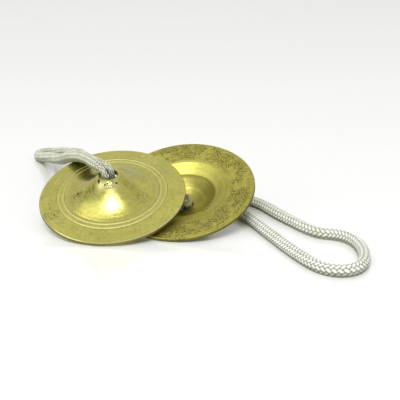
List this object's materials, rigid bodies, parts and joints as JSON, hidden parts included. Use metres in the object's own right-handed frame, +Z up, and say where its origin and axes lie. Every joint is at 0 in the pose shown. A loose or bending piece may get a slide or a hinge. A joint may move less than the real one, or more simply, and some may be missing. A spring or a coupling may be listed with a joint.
{
  "type": "hand cymbals",
  "caption": "Pair of small brass hand cymbals with domed bells, each carried on a knotted braided finger cord",
  "frame": {"origin": "on the table, under the centre of the box that holds both cymbals and the knots", "axes": "+Z up from the table, +X from the left cymbal to the right one, +Y away from the rims that touch the table"},
  "size_m": [0.191, 0.1986, 0.0366],
  "materials": {
    "brass": "turned and lightly tarnished brass",
    "cord": "off-white braided cotton"
  },
  "bodies": {
    "right_cord": {"right_cord": "cord", "right_knot": "cord"},
    "right_cymbal": {"right_cymbal": "brass"},
    "left_cord": {"left_cord": "cord", "left_knot": "cord"},
    "left_cymbal": {"left_cymbal": "brass"}
  },
  "joints": [
    {"name": "right_spin", "type": "hinge", "parent": "right_cord", "child": "right_cymbal", "pos_m": [0.0181, 0.002, 0.0166], "axis": [-0.1173, -0.3744, 0.9198], "continuous": true},
    {"name": "left_lift", "type": "slide", "parent": "right_cord", "child": "left_cord", "axis": [0, 0, 1], "range_m": [0, 0.1]},
    {"name": "left_spin", "type": "hinge", "parent": "left_cord", "child": "left_cymbal", "pos_m": [-0.018, -0.0018, 0.0133], "axis": [-0.0522, -0.3496, 0.9354], "continuous": true}
  ]
}
